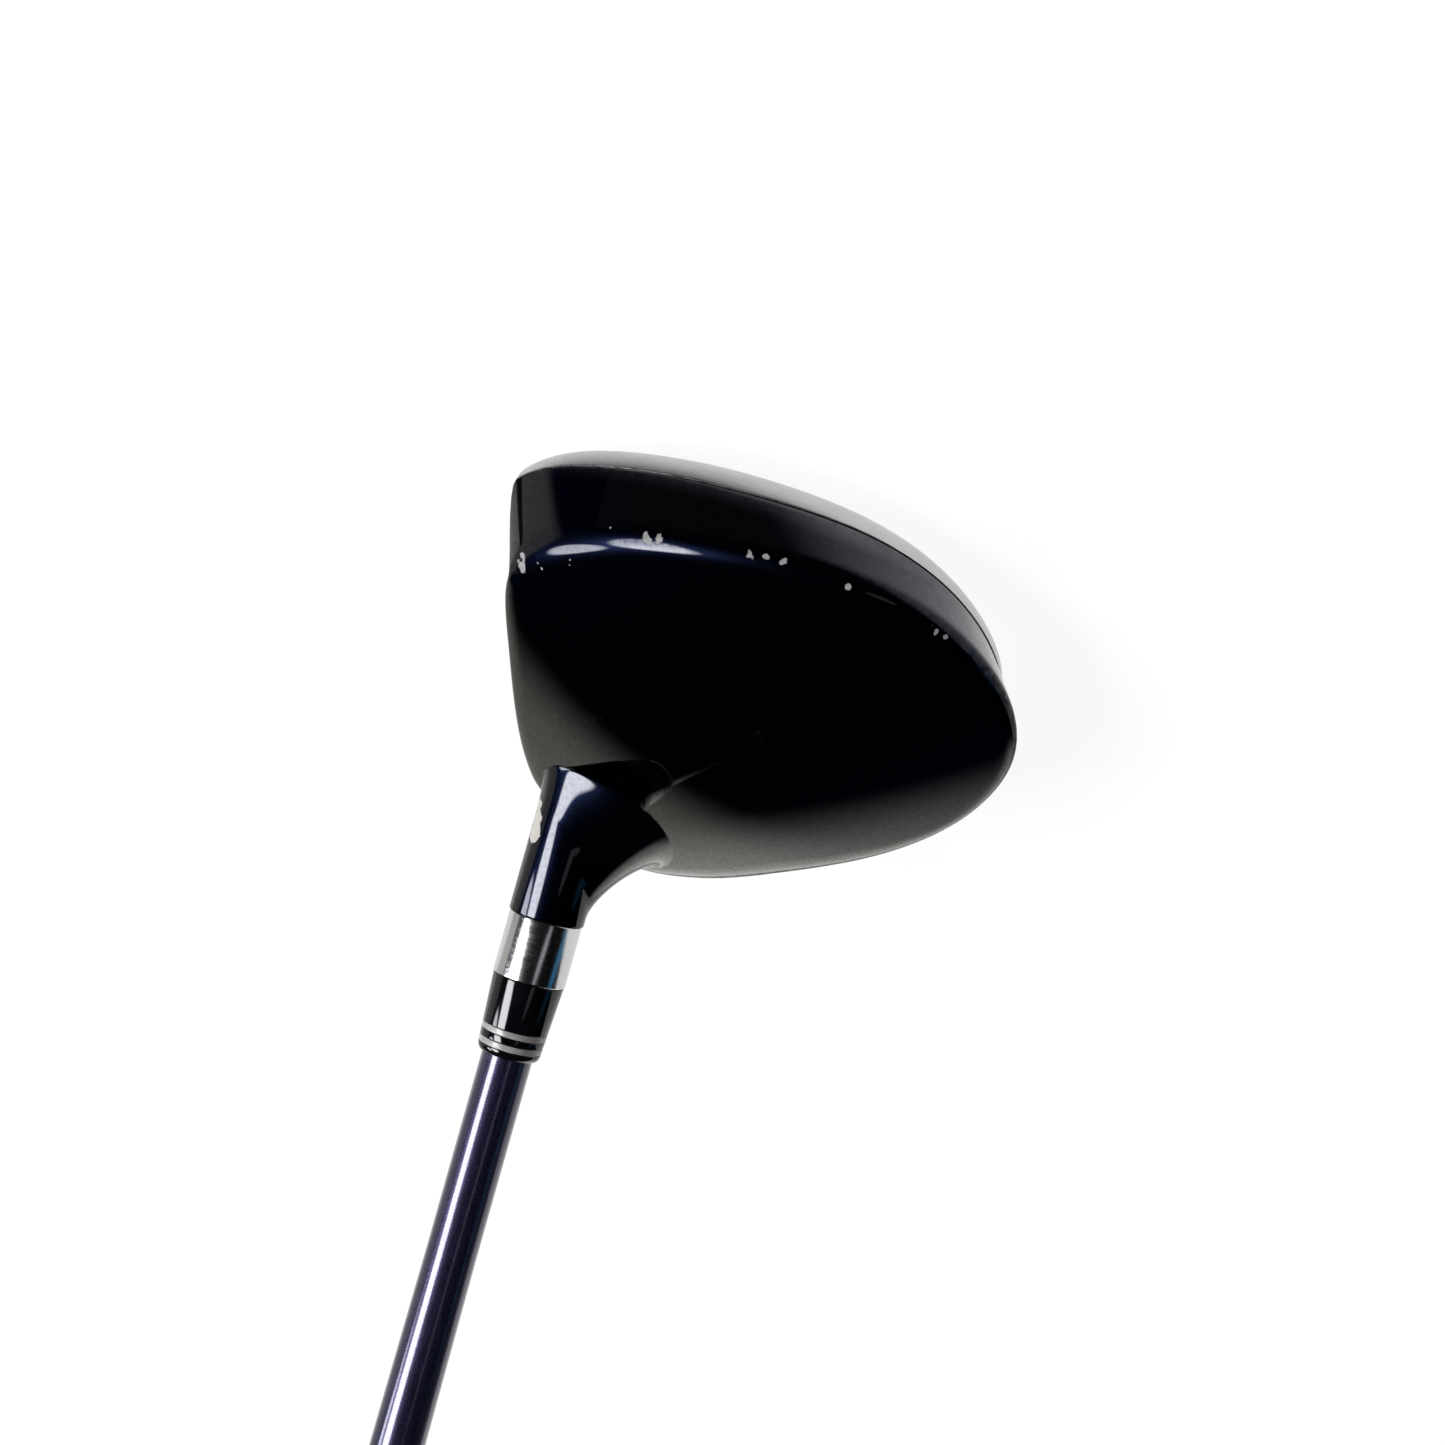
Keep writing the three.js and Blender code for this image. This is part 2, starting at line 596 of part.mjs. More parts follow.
// The rubber sleeve: a bead at the mouth, a long cone, and rings near the butt.
function gripSleeve() {
  const [mouth, butt] = GRIP_S;
  const cone = (s) => mix(GRIP_MOUTH_R, GRIP_BUTT_R, ((s - mouth) / (butt - mouth)) ** GRIP_SWELL);
  const bead = cone(mouth) + GRIP_BEAD;
  const skin = [[bead - 1, mouth], [bead, mouth + 1], [bead, mouth + GRIP_BEAD_LENGTH]];
  skin.push([cone(mouth + GRIP_BEAD_LENGTH + 1), mouth + GRIP_BEAD_LENGTH + 1]);
  const rings = [mouth + RING_FROM_MOUTH, ...RINGS_FROM_BUTT.map((back) => butt - back)];
  for (const s of rings) {
    const floor = cone(s) - RING_DEPTH;
    skin.push([cone(s), s - 1], [floor, s - 0.4], [floor, s + 0.4], [cone(s), s + 1]);
  }
  skin.push([cone(butt), butt]);
  const bore = [butt, mouth].map((s) => [shaftRadius(s) + 2 * TRIM_GAP + TAPE_T, s]);
  return turnedTube([...skin, ...bore]);
}

// The closed end of the grip: bevelled at the foot, rounded at the top, with a vent hole.
function gripCap() {
  const foot = GRIP_S[1] + TRIM_GAP;
  const top = foot + CAP_T;
  const rim = steps(3).map((t) => {
    const turn = (t * Math.PI) / 2;
    return [CAP_R - CAP_ROUND * (1 - Math.cos(turn)), top - CAP_ROUND * (1 - Math.sin(turn))];
  });
  return turnedTube([
    [CAP_R - CAP_BEVEL, foot], [CAP_R, foot + CAP_BEVEL], ...rim, [VENT_R, top], [VENT_R, foot],
  ]);
}

add(head, 'crown_shell', 'crown_paint', crownShell());
add(head, 'body_shell', 'satin_steel', bodyShell());
add(head, 'sole_plate', 'satin_steel', solePlate());
add(head, 'face_plate', 'face_steel', facePlate());
add(head, 'rear_weight', 'weight_metal', rearWeight());
add(head, 'foam_core', 'foam', foamCore());
add(head, 'hosel_neck', 'crown_paint', hoselNeck());
add(shaftLine, 'hosel_collar', 'polished_steel', sleeve(BORE_R, COLLAR_R, COLLAR_S));
add(shaftLine, 'hosel_tube', 'satin_steel', sleeve(...TUBE_R, TUBE_S));
add(shaftLine, 'bore_plug', 'weight_metal', turnedPlug(PLUG_S.map((s) => [TUBE_R[0] - TRIM_GAP, s])));
add(shaftLine, 'epoxy_sleeve', 'epoxy', sleeve(...GLUE_R, GLUE_S));
addFerrule();
add(shaftLine, 'shaft', 'shaft_graphite', shaftTube());
const tipWeightCorners = TIP_WEIGHT_S.map((s) => [SHAFT_BORE_R - TRIM_GAP, s]);
add(shaftLine, 'tip_weight', 'weight_metal', turnedPlug(tipWeightCorners));
add(shaftLine, 'grip_tape', 'cloth_tape', gripTape());
add(shaftLine, 'grip_sleeve', 'grip_rubber', gripSleeve());
add(shaftLine, 'grip_cap', 'grip_rubber', gripCap());

export default driver;
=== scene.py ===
import math

import bmesh
import bpy
import numpy as np
from mathutils import Matrix, Vector


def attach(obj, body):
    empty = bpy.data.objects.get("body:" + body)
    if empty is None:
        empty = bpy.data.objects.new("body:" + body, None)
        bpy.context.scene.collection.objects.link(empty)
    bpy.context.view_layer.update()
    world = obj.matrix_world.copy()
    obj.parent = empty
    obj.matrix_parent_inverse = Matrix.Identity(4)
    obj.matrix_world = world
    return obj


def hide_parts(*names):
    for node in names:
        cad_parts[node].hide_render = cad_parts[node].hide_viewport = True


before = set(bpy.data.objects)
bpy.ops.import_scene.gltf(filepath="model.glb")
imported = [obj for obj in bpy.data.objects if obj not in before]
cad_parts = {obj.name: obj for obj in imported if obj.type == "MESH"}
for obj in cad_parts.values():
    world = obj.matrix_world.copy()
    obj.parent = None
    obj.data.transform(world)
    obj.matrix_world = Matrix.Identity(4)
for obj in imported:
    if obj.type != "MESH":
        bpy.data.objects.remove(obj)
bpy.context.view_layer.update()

MM = 0.001

# ---- head dimensions, in millimetres, the same as the CAD's --------------------------------
# A name that ends in _X or _Y is where along that axis an effect starts and where it is full.
# A name that ends in _TURN is how far the edge faces forward where an effect starts and is full.
EDGE_POLES = np.array([
    (-7.5, -38), (24, -38), (40.5, -31.5), (48.5, -11.5), (31.5, 11.5), (21, 33),
    (-1, 51.5), (-28, 39.5), (-42, 18), (-40.5, -10), (-35, -24), (-23.5, -40.5)], float)
CROWN_TOP = 37.0
DOME_AT = (31.0, -7.0)
DOME_R = (180.0, 110.0)
SKIRT_DROP = 11.2
SKIRT_DROP_SLOPE = 0.04
SKIRT_FLARE = 0.5
SKIRT_FLARE_SLOPE = 0.144
TUCK_X = (30, 0)
SHOULDER = 2.6
SHOULDER_SHARE = 0.7
HEEL_ROLL = 2.4
HEEL_ROLL_X = (10, 35)
HEEL_ROLL_Y = (-24, -4)
ROLL_INSET = 1.5
TOE_FLARE = 1.3
TOE_FLARE_X = (-8, -26)
TOE_FLARE_Y = (-14, -32)
TURN_IN = 16.3
SOLE_EDGE_Z = 1.6
LOFT = math.radians(12)
FACE_TURN = (0.8, 0.97)
FACE_FLARE = 0.3
FOOT_TURN = (0.25, 0.97)
FOOT_TURN_X = (-12, 8)
FACE_DROP = 1.1
FACE_FOOT_Z = 4.0
FACE_FOOT_AT = 0.8
LEAD_TUCK = 5.0
SEAM_GAP = 0.12
SOLE_OPENING = 0.78
SOLE_GAP = 0.01
FLAT_PATCH = 0.5
SOLE_PLATE_T = 2.4
FACE_GAP = 0.02
FACE_T = 2.6
FACE_MIDDLE_U = 0.15
FACE_U = 1.02
FACE_V = (0.1, 0.74)
GROOVE_ROWS = 6
GROOVE_STEP = 2.6
GROOVE_MIDDLE_Z = 17.0
GROOVE_U = 0.78
GROOVE_DEPTH = 0.4
GROOVE_W = 0.7
FACE_SQUARENESS = 0.6
FACE_CUT = (4, 9)
CROWN_WALL = 0.9
BODY_WALL = 1.5
BORE_CUT_S = (-15, 25)
CENTRE = 0.02  # the first ring round the middle of a closed surface, as a share of its rim
EASE_R = 0.25  # the rounding on a turned or cut edge
STATIONS = 288
FACE_STEPS = 240

# ---- dimensions along the shaft axis ---------------------------------------------------------
# A name that ends in _S is a station, in millimetres along the axis from AXIS_AT.
LIE = math.radians(57)
AXIS_AT = np.array((25.5, -26.0, 34.0))
ALONG = np.array((math.cos(LIE), 0, math.sin(LIE)))
HEELWARD = np.array((math.sin(LIE), 0, -math.cos(LIE)))
FORWARD = np.array((0.0, -1.0, 0.0))
UPWARD = np.array((0, 0, 1))
TURNED_STEPS = 144
NECK_R = 6.7
FLARE_TURN = math.radians(165)
FLARE_REACH = (0.6, 12)
FLARE_FOCUS = 3.5
CLIMB_TURN = math.radians(160)
CLIMB = (5.5, 17)
FLARE_EASE = (0.3, 0.7)
LANDING_SINK = 0.02
ROOT_SINK = 0.5
NECK_SEARCH = 30.0
NECK_SEARCH_STEPS = 40
BORE_R = 5.6
COLLAR_R = 6.45
COLLAR_S = (22.4, 33.5)
SHAFT_TIP_R = 4.5
SHAFT_TIP_S = -6.0
BUTT_R = 7.6
TAPER_S = (83.0, 118.0, 1086.0)
TAPER_MID_R = 4.78
SHAFT_BORE_R = (3.1, 6.7)
FERRULE_S = (33.6, 42.3)
FERRULE_FOOT_R = 6.33
FERRULE_TAPER = 0.059
FERRULE_EASE = 0.12
RING_T = 1.1
SPACER_T = 1.2
LIP_T = 1.4
LIP_LAND = 0.2
LIP_STEPS = 12
TRIM_GAP = 0.05
FERRULE_BORE_R = SHAFT_TIP_R + TRIM_GAP
GRIP_S = (822.0, 1087.0)
GRIP_MOUTH_R = 8.4
GRIP_BUTT_R = 13.2
GRIP_TAPER_POWER = 0.8
GRIP_BEAD = 0.5
GRIP_BEAD_END = (3.5, 5)
GRIP_RINGS_FROM_MOUTH = (30,)
GRIP_RINGS_FROM_BUTT = (30, 22, 14)
GRIP_RING_DEPTH = 0.6
GRIP_RING_HALF_W = (0.4, 1)
GRIP_PATTERN_END = (34, 36)
GRIP_GROOVES_ROUND = 18
GRIP_GROOVE_PITCH = 4.2
GRIP_GROOVE_DEPTH = 0.35
GRIP_GROOVE_HALF_W = (0.06, 0.16)
GRIP_STEPS = (216, 620)
TAPE_WRAP = 0.3
CAP_R = 14.4
CAP_T = 6.0
CAP_FOOT = 1.0
CAP_CROWN = (2.6, 2.4)
CAP_GROOVE_R = (8.4, 8.7, 9.3, 9.6)
CAP_GROOVE_DEPTH = 0.4
VENT_R = 1.6
VENT_ROUND = 0.5


# ---- small maths -----------------------------------------------------------------------------
def smooth(a, b, x):
    """0 where x is a, 1 where it is b, held beyond, with a smooth rise between."""
    t = np.clip((np.asarray(x, float) - a) / (b - a), 0, 1)
    return t * t * (3 - 2 * t)


def mix(a, b, t):
    return a + (b - a) * t


# ---- the head's surface, the CAD's formulas on finer steps ------------------------------------
def edge(u):
    """Points and outward normals of the crown's edge, seen from above, at spline parameters u."""
    count = len(EDGE_POLES)
    i = np.floor(u).astype(int)
    t = (u - i)[:, None]
    pole = [EDGE_POLES[(i + k) % count] for k in (-1, 0, 1, 2)]
    place = [(1 - t) ** 3, 3 * t**3 - 6 * t**2 + 4, 1 + 3 * t + 3 * t**2 - 3 * t**3, t**3]
    slope = [-((1 - t) ** 2), 3 * t**2 - 4 * t, 1 + 2 * t - 3 * t**2, t**2]
    at = sum(w * p for w, p in zip(place, pole)) / 6
    along = sum(w * p for w, p in zip(slope, pole))
    along /= np.linalg.norm(along, axis=1)[:, None]
    return at, np.stack([along[:, 1], -along[:, 0]], 1)


def dome(x, y):
    """Height of the crown's dome over a point of the plan."""
    return CROWN_TOP - (x - DOME_AT[0]) ** 2 / (2 * DOME_R[0]) - (y - DOME_AT[1]) ** 2 / (2 * DOME_R[1])


class Section:
    """The head's cross-section at each spline parameter: where its edge is, and how it turns down."""

    def __init__(self, u):
        self.at, self.out = edge(np.asarray(u, float))
        x, y = self.at.T
        self.face = smooth(*FACE_TURN, -self.out[:, 1])
        wide = smooth(*FOOT_TURN, -self.out[:, 1])
        self.foot = mix(self.face, wide, smooth(*FOOT_TURN_X, x))
        roll = HEEL_ROLL * smooth(*HEEL_ROLL_X, x) * smooth(*HEEL_ROLL_Y, y)
        tuck = SKIRT_FLARE_SLOPE * smooth(*TUCK_X, x)
        corner = TOE_FLARE * smooth(*TOE_FLARE_X, x) * smooth(*TOE_FLARE_Y, y)
        self.top = dome(x, y)
        self.inset = SHOULDER + ROLL_INSET * roll
        self.drop = mix(SKIRT_DROP - SKIRT_DROP_SLOPE * y, FACE_DROP, self.face)
        self.flare = mix(SKIRT_FLARE - tuck * y + roll + corner, FACE_FLARE, self.face)
        self.fall = np.minimum(self.inset, SHOULDER_SHARE * self.drop)
        self.seam = self.top - self.drop

    def offset(self, o, z):
        """Points moved o outwards from the edge, at height z."""
        o = np.broadcast_to(o, self.top.shape)
        z = np.broadcast_to(z, self.top.shape)
        return np.column_stack([self.at + self.out * o[:, None], z])

    def dome_ring(self, fraction):
        """A ring of the dome, from its middle at 0 to where the shoulder starts at 1."""
        plan = (self.at - self.out * self.inset[:, None]) * fraction
        return np.column_stack([plan, dome(*plan.T)])

    def shoulder(self, t):
        """The rounded edge between the dome, at 0, and the skirt, at 1."""
        start = self.dome_ring(1.0)
        corner = self.offset(0, self.top)
        end = self.offset(self.flare * self.fall / self.drop, self.top - self.fall)
        return start * (1 - t) ** 2 + corner * 2 * t * (1 - t) + end * t**2

    def skirt(self, t, inward=0.0, up=0.0):
        """The painted side, from the shoulder at 0 to the seam at 1."""
        fall = mix(self.fall, self.drop - SEAM_GAP, t)
        return self.offset(self.flare * fall / self.drop - inward, self.top - fall + up)

    def lower(self, a, inward=0.0):
        """The steel below the seam, from the seam at 0 to the edge of the sole at 1."""
        a = np.asarray(a, float)
        seam = self.seam - SEAM_GAP
        turn = a * math.pi / 2
        side_out = self.flare - TURN_IN * (1 - np.cos(turn))
        side_z = mix(seam, SOLE_EDGE_Z, np.sin(turn))
        down = np.minimum(a / FACE_FOOT_AT, 1)
        under = np.maximum((a - FACE_FOOT_AT) / (1 - FACE_FOOT_AT), 0) * math.pi / 2
        face_z = mix(mix(seam, FACE_FOOT_Z, down), SOLE_EDGE_Z, np.sin(under))
        face_out = self.flare + (seam - mix(seam, FACE_FOOT_Z, down)) * math.tan(LOFT)
        face_out = face_out - LEAD_TUCK * (1 - np.cos(under))
        share = mix(self.face, self.foot, a)
        out = mix(side_out, face_out, share) - inward
        return self.offset(out, mix(side_z, face_z, share))

    def sole(self, f):
        """A ring of the sole, from its flat middle at 0 to its raised edge at 1."""
        rim = self.lower(1.0)
        rise = max((f - FLAT_PATCH) / (1 - FLAT_PATCH), 0)
        return np.column_stack([rim[:, :2] * f, np.full(len(rim), SOLE_EDGE_Z * rise**2)])


ROUND = Section(np.arange(STATIONS) * len(EDGE_POLES) / STATIONS)


def inner(rings, wall):
    """Rings moved inwards by the wall thickness, square to the way down and the way round the edge."""
    grid = np.array(rings)
    around = np.column_stack([-ROUND.out[:, 1], ROUND.out[:, 0], np.zeros(STATIONS)])
    down = np.gradient(grid, axis=0)
    normal = np.cross(down, around)
    normal /= np.linalg.norm(normal, axis=2)[:, :, None]
    return list(grid - normal * wall)


# ---- meshes ----------------------------------------------------------------------------------
def loft(name, rings, closing, material, sharp=40):
    """A mesh through rings of points in millimetres; 'loop' joins last to first, 'caps' closes the ends."""
    rings = [np.asarray(r, float) for r in rings]
    n = len(rings[0])
    points = np.concatenate(rings)
    faces = []
    bands = len(rings) if closing == "loop" else len(rings) - 1
    for r in range(bands):
        a, b = r * n, ((r + 1) % len(rings)) * n
        faces += [(a + i, a + (i + 1) % n, b + (i + 1) % n, b + i) for i in range(n)]
    if closing == "caps":
        for ring, flip in ((0, True), (len(rings) - 1, False)):
            hub = len(points)
            points = np.vstack([points, rings[ring].mean(0)])
            a = ring * n
            pairs = [(a + i, a + (i + 1) % n) for i in range(n)]
            faces += [(q, p, hub) if flip else (p, q, hub) for p, q in pairs]
    mesh = bpy.data.meshes.new(name)
    mesh.from_pydata((points * MM).tolist(), [], faces)
    return finish_piece(name, mesh, material, sharp)


def finish_piece(name, mesh, material, sharp):
    """A linked object for a mesh, with its faces outwards, smooth apart from edges past sharp degrees."""
    work = bmesh.new()
    work.from_mesh(mesh)
    if work.calc_volume(signed=True) < 0:
        bmesh.ops.reverse_faces(work, faces=work.faces)
    work.to_mesh(mesh)
    work.free()
    mesh.shade_smooth()
    mesh.set_sharp_from_angle(angle=math.radians(sharp))
    mesh.materials.append(material)
    piece = bpy.data.objects.new(name, mesh)
    bpy.context.scene.collection.objects.link(piece)
    return piece


def keep(piece, slot, *nodes):
    """Ties a finished piece to the frame: puts it under the root body and hides the CAD nodes it stands
    for. The slot argument is not used.
    """
    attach(piece, "root")
    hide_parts(*nodes)
    return piece


def combine(piece, other, operation, sharp=40):
    """Cuts other out of the piece (DIFFERENCE) or welds it on (UNION), and throws other away."""
    modifier = piece.modifiers.new("combine", "BOOLEAN")
    modifier.operation = operation
    modifier.solver = "EXACT"
    modifier.object = other
    solid = piece.evaluated_get(bpy.context.evaluated_depsgraph_get())
    mesh = bpy.data.meshes.new_from_object(solid)
    piece.modifiers.remove(modifier)
    piece.data = mesh
    bpy.data.objects.remove(other)
    mesh.shade_smooth()
    mesh.set_sharp_from_angle(angle=math.radians(sharp))
    return piece


def rounded(corners, steps=5):
    """Rounds a closed profile of (radius, station, fillet) corners with short arcs."""
    points = []
    count = len(corners)
    for k, (r, s, fillet) in enumerate(corners):
        here = np.array((r, s), float)
        if not fillet:
            points.append(here)
            continue
        before = np.array(corners[k - 1][:2], float) - here
        after = np.array(corners[(k + 1) % count][:2], float) - here
        a = here + before / np.linalg.norm(before) * min(fillet, np.linalg.norm(before) * 0.45)
        b = here + after / np.linalg.norm(after) * min(fillet, np.linalg.norm(after) * 0.45)
        for t in np.linspace(0, 1, steps):
            points.append(a * (1 - t) ** 2 + here * 2 * t * (1 - t) + b * t**2)
    return points


def turns(steps):
    """Equal turns about an axis, in radians, from 0 up to a full circle."""
    return np.arange(steps) * 2 * math.pi / steps


def axis_points(radius, s, turn):
    """Points round the shaft axis at station s. Turn 0 faces forward and grows towards the heel."""
    radius = np.broadcast_to(radius, turn.shape)
    s = np.broadcast_to(s, turn.shape)
    spin = np.outer(np.sin(turn), HEELWARD) + np.outer(np.cos(turn), FORWARD)
    return AXIS_AT + spin * radius[:, None] + np.outer(s, ALONG)


def turned(name, corners, material, sharp=35):
    """A ring or tube about the shaft axis, with rounded edges."""
    turn = turns(TURNED_STEPS)
    rings = [axis_points(r, s, turn) for r, s in rounded(corners)]
    return loft(name, rings, "loop", material, sharp)


# ---- materials -------------------------------------------------------------------------------
class Wiring:
    """Short ways to wire nodes together, for a material or for the world."""

    def __init__(self, owner, places):
        owner.use_nodes = True
        self.nodes = owner.node_tree.nodes
        self.links = owner.node_tree.links
        self.place = self.node("ShaderNodeTexCoord").outputs[places]

    def fill(self, socket, value):
        if isinstance(value, bpy.types.NodeSocket):
            self.links.new(value, socket)
        elif isinstance(value, tuple) and len(value) == 3 and socket.type == "RGBA":
            socket.default_value = (*value, 1)
        else:
            socket.default_value = value

    def node(self, kind, inputs=None, **settings):
        made = self.nodes.new(kind)
        for key, value in settings.items():
            setattr(made, key, value)
        for socket, value in (inputs or {}).items():
            self.fill(made.inputs[socket], value)
        return made

    def ramp(self, value, start, end, low=0.0, high=1.0):
        """Value turned smoothly from low to high as it goes from start to end."""
        inputs = {"Value": value, "From Min": start, "From Max": end, "To Min": low, "To Max": high}
        return self.node("ShaderNodeMapRange", inputs, interpolation_type="SMOOTHSTEP").outputs["Result"]

    def math(self, operation, a, b=0.0):
        return self.node("ShaderNodeMath", {0: a, 1: b}, operation=operation).outputs[0]

    def times(self, *values):
        total = values[0]
        for value in values[1:]:
            total = self.math("MULTIPLY", total, value)
        return total

    def most(self, *values):
        total = values[0]
        for value in values[1:]:
            total = self.math("MAXIMUM", total, value)
        return total

    def besides(self, value):
        """What is left of 1 once value is taken away."""
        return self.math("SUBTRACT", 1.0, value)

    def along(self, direction):
        """How far a place lies along a direction."""
        inputs = {0: self.place, 1: direction}
        return self.node("ShaderNodeVectorMath", inputs, operation="DOT_PRODUCT").outputs["Value"]

    def blend(self, factor, a, b):
        made = self.node("ShaderNodeMix", data_type="RGBA")
        self.fill(made.inputs[0], factor)
        self.fill(made.inputs[6], a)
        self.fill(made.inputs[7], b)
        return made.outputs[2]

    def unless_camera(self, seen, otherwise):
        """One shader for rays that come straight from the camera and another for all the rest."""
        ray = self.node("ShaderNodeLightPath").outputs["Is Camera Ray"]
        return self.node("ShaderNodeMixShader", {0: ray, 1: otherwise, 2: seen}).outputs[0]


class Look(Wiring):
    """One node material: a Principled shader with textures for its sockets."""

    def __init__(self, name, **sockets):
        self.material = bpy.data.materials.new(name)
        super().__init__(self.material, "Object")
        self.shader = self.nodes["Principled BSDF"]
        self.set(**sockets)

    def set(self, **sockets):
        for socket, value in sockets.items():
            self.fill(self.shader.inputs[socket.replace("_", " ")], value)

    def noise(self, size, detail=2.0, rough=0.5, at=None):
        """Noise with features about size millimetres across, from 0 to 1."""
        inputs = {"Vector": at or self.place, "Scale": 1 / (size * MM)}
        inputs.update({"Detail": detail, "Roughness": rough})
        return self.node("ShaderNodeTexNoise", inputs).outputs["Fac"]

    def stretched(self, along, factor):
        """Places squeezed along one direction, so that noise in them draws out into streaks."""
        upright = Vector(along).to_track_quat("Z", "Y").inverted().to_euler()
        inputs = {"Vector": self.place, "Rotation": tuple(upright)}
        turned_back = self.node("ShaderNodeMapping", inputs).outputs[0]
        inputs = {"Vector": turned_back, "Scale": (1, 1, 1 / factor)}
        return self.node("ShaderNodeMapping", inputs).outputs[0]

    def bump(self, height, depth, below=None):
        """A normal from a height map whose full range is depth millimetres."""
        inputs = {"Height": height, "Distance": depth * MM, "Strength": 1.0}
        if below:
            inputs["Normal"] = below
        return self.node("ShaderNodeBump", inputs).outputs["Normal"]

    def distance(self, point):
        """Distance in metres to a point given in millimetres."""
        inputs = {0: self.place, 1: tuple(float(p) * MM for p in point)}
        return self.node("ShaderNodeVectorMath", inputs, operation="DISTANCE").outputs["Value"]

    def spots(self, spots, ragged, grain):
        """1 inside any of the ragged spots (point, radius), in millimetres, and 0 outside."""
        edge_noise = self.noise(grain, detail=4, rough=0.65)
        stretch = self.ramp(edge_noise, 0.25, 0.75, 1 - ragged, 1 + ragged)
        inside = []
        for point, radius in spots:
            reach = self.math("MULTIPLY", stretch, radius * MM)
            past = self.math("SUBTRACT", self.distance(point), reach)
            inside.append(self.ramp(past, 0.02 * MM, -0.06 * MM))
        return self.most(*inside)

    def axis(self, name):
        return self.node("ShaderNodeSeparateXYZ", {0: self.place}).outputs[name]

    def below_dome(self):
        """How far a place lies under the crown's dome, in metres."""
        total = self.math("SUBTRACT", CROWN_TOP * MM, self.axis("Z"))
        for name, middle, radius in zip("XY", DOME_AT, DOME_R):
            away = self.math("SUBTRACT", self.axis(name), middle * MM)
            fall = self.math("DIVIDE", self.times(away, away), 2 * radius * MM)
            total = self.math("SUBTRACT", total, fall)
        return total


# Paint chips on the crown's rounded edge: spline station, how far down the shoulder, radius in mm.
CHIPS = [
    (10.86, 0.45, 1.0), (10.8, 0.7, 0.6), (9.36, 0.65, 1.0), (9.25, 0.7, 0.7), (8.58, 0.6, 0.6),
    (8.49, 0.65, 0.45), (8.38, 0.6, 0.6), (7.97, 0.35, 0.4), (7.33, 0.35, 0.5), (7.26, 0.4, 0.4),
    (10.62, 0.3, 0.2), (10.6, 0.1, 0.2), (10.22, 0.15, 0.2), (10.25, 0.0, 0.15), (9.75, 1.0, 0.2),
]

# Paint worn off the front of the neck's foot: place and radius in millimetres.
WORN = [((24.6, -31.8, 39.2), 1.2), ((25.3, -31.4, 41.3), 1.7), ((26.2, -31.0, 43.2), 1.9)]


def crown_paint():
    """Navy flake under clear coat, chipped and scuffed at the edges, with a little dust and a painted sheen
    of pale grey near the seam and towards the back.
    """
    look = Look("crown_paint", IOR=1.5, Specular_Tint=(0.05, 0.08, 0.2), Coat_Roughness=0.03, Coat_IOR=1.5)
    flake = look.ramp(look.noise(0.09, detail=1), 0.45, 0.75)
    base = look.blend(flake, (0.002, 0.003, 0.006), (0.005, 0.008, 0.032))

    depth = look.below_dome()
    y = look.axis("Y")
    seam_depth = look.math("SUBTRACT", SKIRT_DROP * MM, look.times(y, SKIRT_DROP_SLOPE))
    above_seam = look.math("SUBTRACT", seam_depth, depth)
    # Painted sheen: pale grey is painted into the paint near the seam and towards the back, in place of the
    # pale room reflected there.
    sheen_near_seam = look.ramp(above_seam, 4 * MM, 0, 0, 0.25)
    sheen_towards_back = look.times(look.ramp(y, 15 * MM, 44 * MM, 0, 0.55), look.ramp(depth, 0.8 * MM, 5 * MM))
    mottle = look.ramp(look.noise(1.4, detail=6, rough=0.75), 0.3, 0.7, 0.6, 1.3)
    painted_sheen = look.times(look.most(sheen_near_seam, sheen_towards_back), mottle)
    dust = look.noise(0.7, detail=6, rough=0.8)

    places = [(Section([u]).shoulder(t)[0], radius) for u, t, radius in CHIPS]
    speck = look.ramp(look.noise(0.9, detail=3, rough=0.6), 0.76, 0.78)
    edge_only = look.times(look.ramp(depth, 0.05 * MM, 0.5 * MM), look.ramp(depth, 4 * MM, 2 * MM))
    chip = look.most(look.spots(places, 0.6, 1.3), look.times(speck, edge_only))

    hair = look.noise(0.35, detail=2, at=look.stretched((0.75, 0.62, 0), 30))
    scratched = look.ramp(look.distance((8, -24, 33)), 13 * MM, 5 * MM)
    scratch = look.times(look.ramp(hair, 0.68, 0.72), scratched, 0.25)
    worn = look.spots(WORN, 0.25, 2.5)
    bare = look.most(chip, scratch, worn)
    metal = look.blend(mottle, (0.12, 0.12, 0.12), (0.36, 0.36, 0.35))
    shoulder_only = look.times(look.ramp(depth, 0.2 * MM, 0.8 * MM), look.ramp(depth, 3.5 * MM, 2 * MM))
    rubbed = look.times(shoulder_only, look.ramp(y, -23 * MM, -16 * MM, 0.2, 0.68), mottle)
    # The painted sheen blends the navy towards pale grey here, and further down it turns the metallic flake
    # off.
    shade = look.blend(painted_sheen, base, (0.25, 0.25, 0.27))
    look.set(
        Base_Color=look.blend(bare, shade, look.blend(worn, metal, (0.5, 0.48, 0.43))),
        Roughness=look.ramp(bare, 0, 1, 0.3, 0.5),
        Metallic=look.besides(look.most(painted_sheen, bare)),
        Coat_Weight=look.times(
            look.ramp(bare, 0, 1, 1, 0), look.ramp(dust, 0.35, 0.7, 1, 0.7), look.besides(rubbed)),
        Normal=look.bump(look.besides(chip), 0.08, look.bump(look.noise(2.5), 0.002)),
    )
    return look.material


